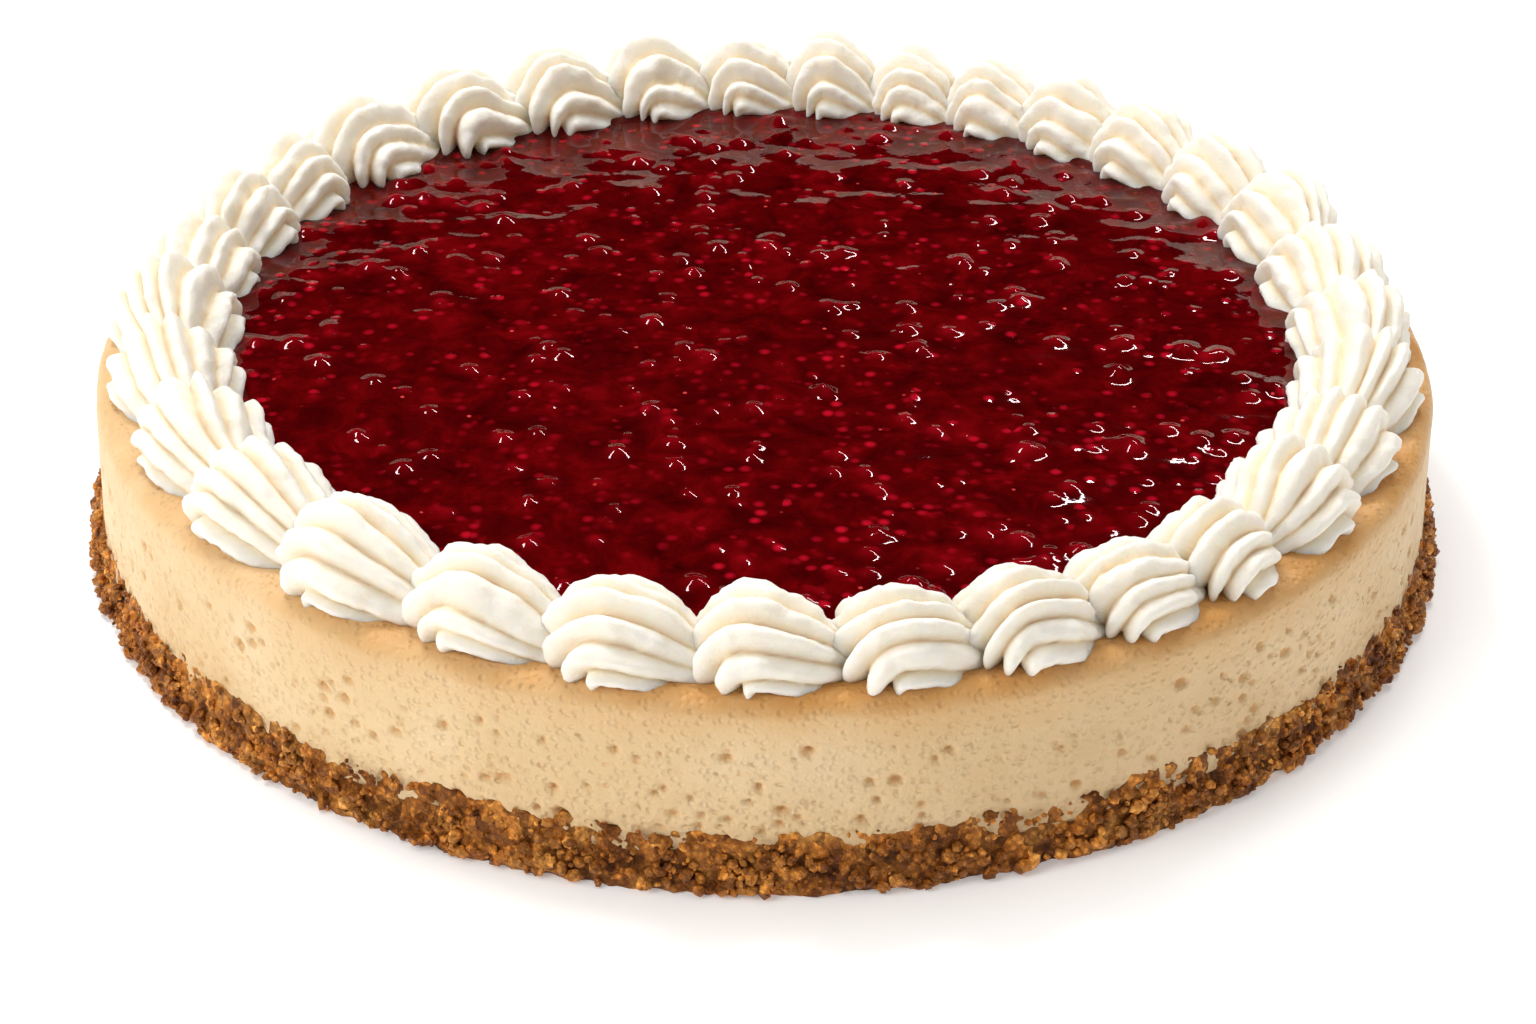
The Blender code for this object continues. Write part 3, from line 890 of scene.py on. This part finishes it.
def add_light(name, place, aim_height, size, power, colour, mirrored):
    """A softbox. One that isn't mirrored lights the cake but isn't seen in its wet surfaces."""
    target = (0, 0, aim_height)
    light = bpy.data.lights.new(name, "AREA")
    light.shape = "RECTANGLE"
    light.size, light.size_y = size
    light.energy = power
    light.color = colour
    body = add_object(name, light)
    body.location = place
    body.rotation_euler = (Vector(target) - Vector(place)).to_track_quat("-Z", "Y").to_euler()
    body.visible_glossy = mirrored


def make_lights():
    for light in LIGHTS:
        add_light(*light)
    world = bpy.data.worlds.new("studio")
    world.use_nodes = True
    background = world.node_tree.nodes["Background"]
    background.inputs["Color"].default_value = WORLD_COLOUR
    background.inputs["Strength"].default_value = WORLD_STRENGTH
    bpy.context.scene.world = world
    world.cycles_visibility.glossy = False
    bpy.context.scene.view_settings.view_transform = "Standard"


def make_camera():
    """The photograph's camera: its place, its small pitch, yaw and roll, and its lens."""
    camera = bpy.data.cameras.new("camera")
    camera.lens = LENS
    camera.sensor_width = SENSOR
    camera.clip_start = 0.01
    body = add_object("camera", camera)
    down = CAMERA_ELEVATION + CAMERA_PITCH
    ahead = Vector(
        (math.sin(CAMERA_YAW) * math.cos(down), math.cos(CAMERA_YAW) * math.cos(down), -math.sin(down))
    )
    right = ahead.cross(Vector((0, 0, 1))).normalized()
    up = right.cross(ahead)
    turned_right = right * math.cos(CAMERA_ROLL) + up * math.sin(CAMERA_ROLL)
    turned_up = up * math.cos(CAMERA_ROLL) - right * math.sin(CAMERA_ROLL)
    pose = Matrix((turned_right, turned_up, -ahead)).transposed().to_4x4()
    pose.translation = CAMERA_DISTANCE * Vector((0, -math.cos(CAMERA_ELEVATION), math.sin(CAMERA_ELEVATION)))
    body.matrix_world = pose
    bpy.context.scene.camera = body


def main():
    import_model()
    crumb = crumb_material()
    cream = cream_material()
    pieces = [
        (make_crust(crumb), "crumb_crust", "crumb"),
        (make_crumbs(crumb), "crumb_crust", "crumb"),
        (make_filling(filling_material()), "cheesecake_filling", "baked_filling"),
        (make_jelly(jelly_material()), "raspberry_topping", "berry_jelly"),
    ]
    plan = shell_plan()
    for index, shell in enumerate(plan):
        following = None if shell["last"] else plan[index + 1]
        piece = make_shell(index + 1, shell, following, cream)
        pieces.append((piece, f"cream_shell_{index + 1:02d}", "whipped_cream"))
    for piece, node, slot in pieces:
        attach(piece, "root")
        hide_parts(node)
    make_floor(floor_material())
    make_lights()
    make_camera()


main()
